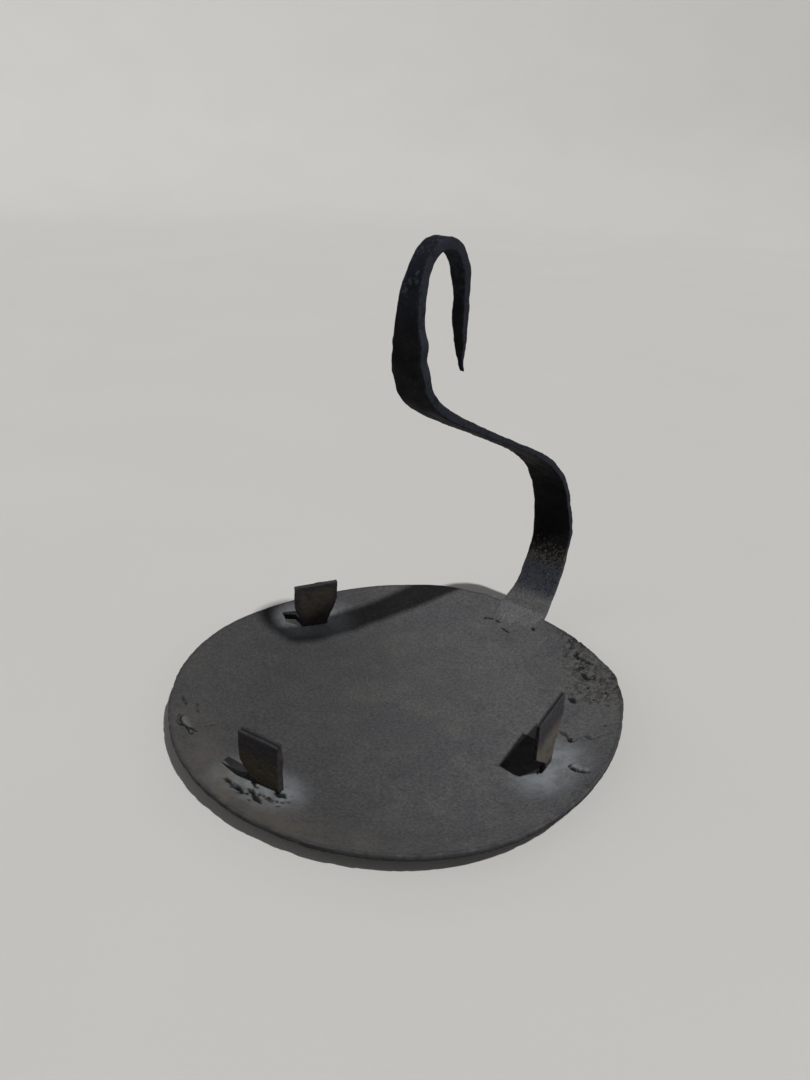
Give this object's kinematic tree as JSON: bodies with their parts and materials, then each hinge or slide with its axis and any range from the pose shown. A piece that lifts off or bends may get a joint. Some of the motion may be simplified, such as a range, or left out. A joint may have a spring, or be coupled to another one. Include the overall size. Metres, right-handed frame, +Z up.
{
  "type": "hanging oil lamp holder",
  "caption": "Hand-forged iron lamp holder: shallow round pan with upright lugs that keep an oil dish in place, and a strap hanger that bows up to a hook.",
  "frame": {"origin": "centre of the pan's flat underside, where it rests on a table", "axes": "+Z up towards the hook, +Y from the centre towards the hanger's root, +X to the right of that"},
  "size_m": [0.1586, 0.1761, 0.1635],
  "materials": {
    "pan_iron": "old forged sheet iron, dusty grey patina with worn patches, pits and rust scale",
    "hanger_iron": "black forge scale with a bluish sheen, hammer marks and softened edges",
    "lug_iron": "dark brown iron, matt, with worn lighter edges"
  },
  "bodies": {
    "root": {"pan": "pan_iron", "hanger": "hanger_iron", "lug_front": "lug_iron", "lug_left": "lug_iron", "lug_right": "lug_iron"}
  },
  "joints": []
}
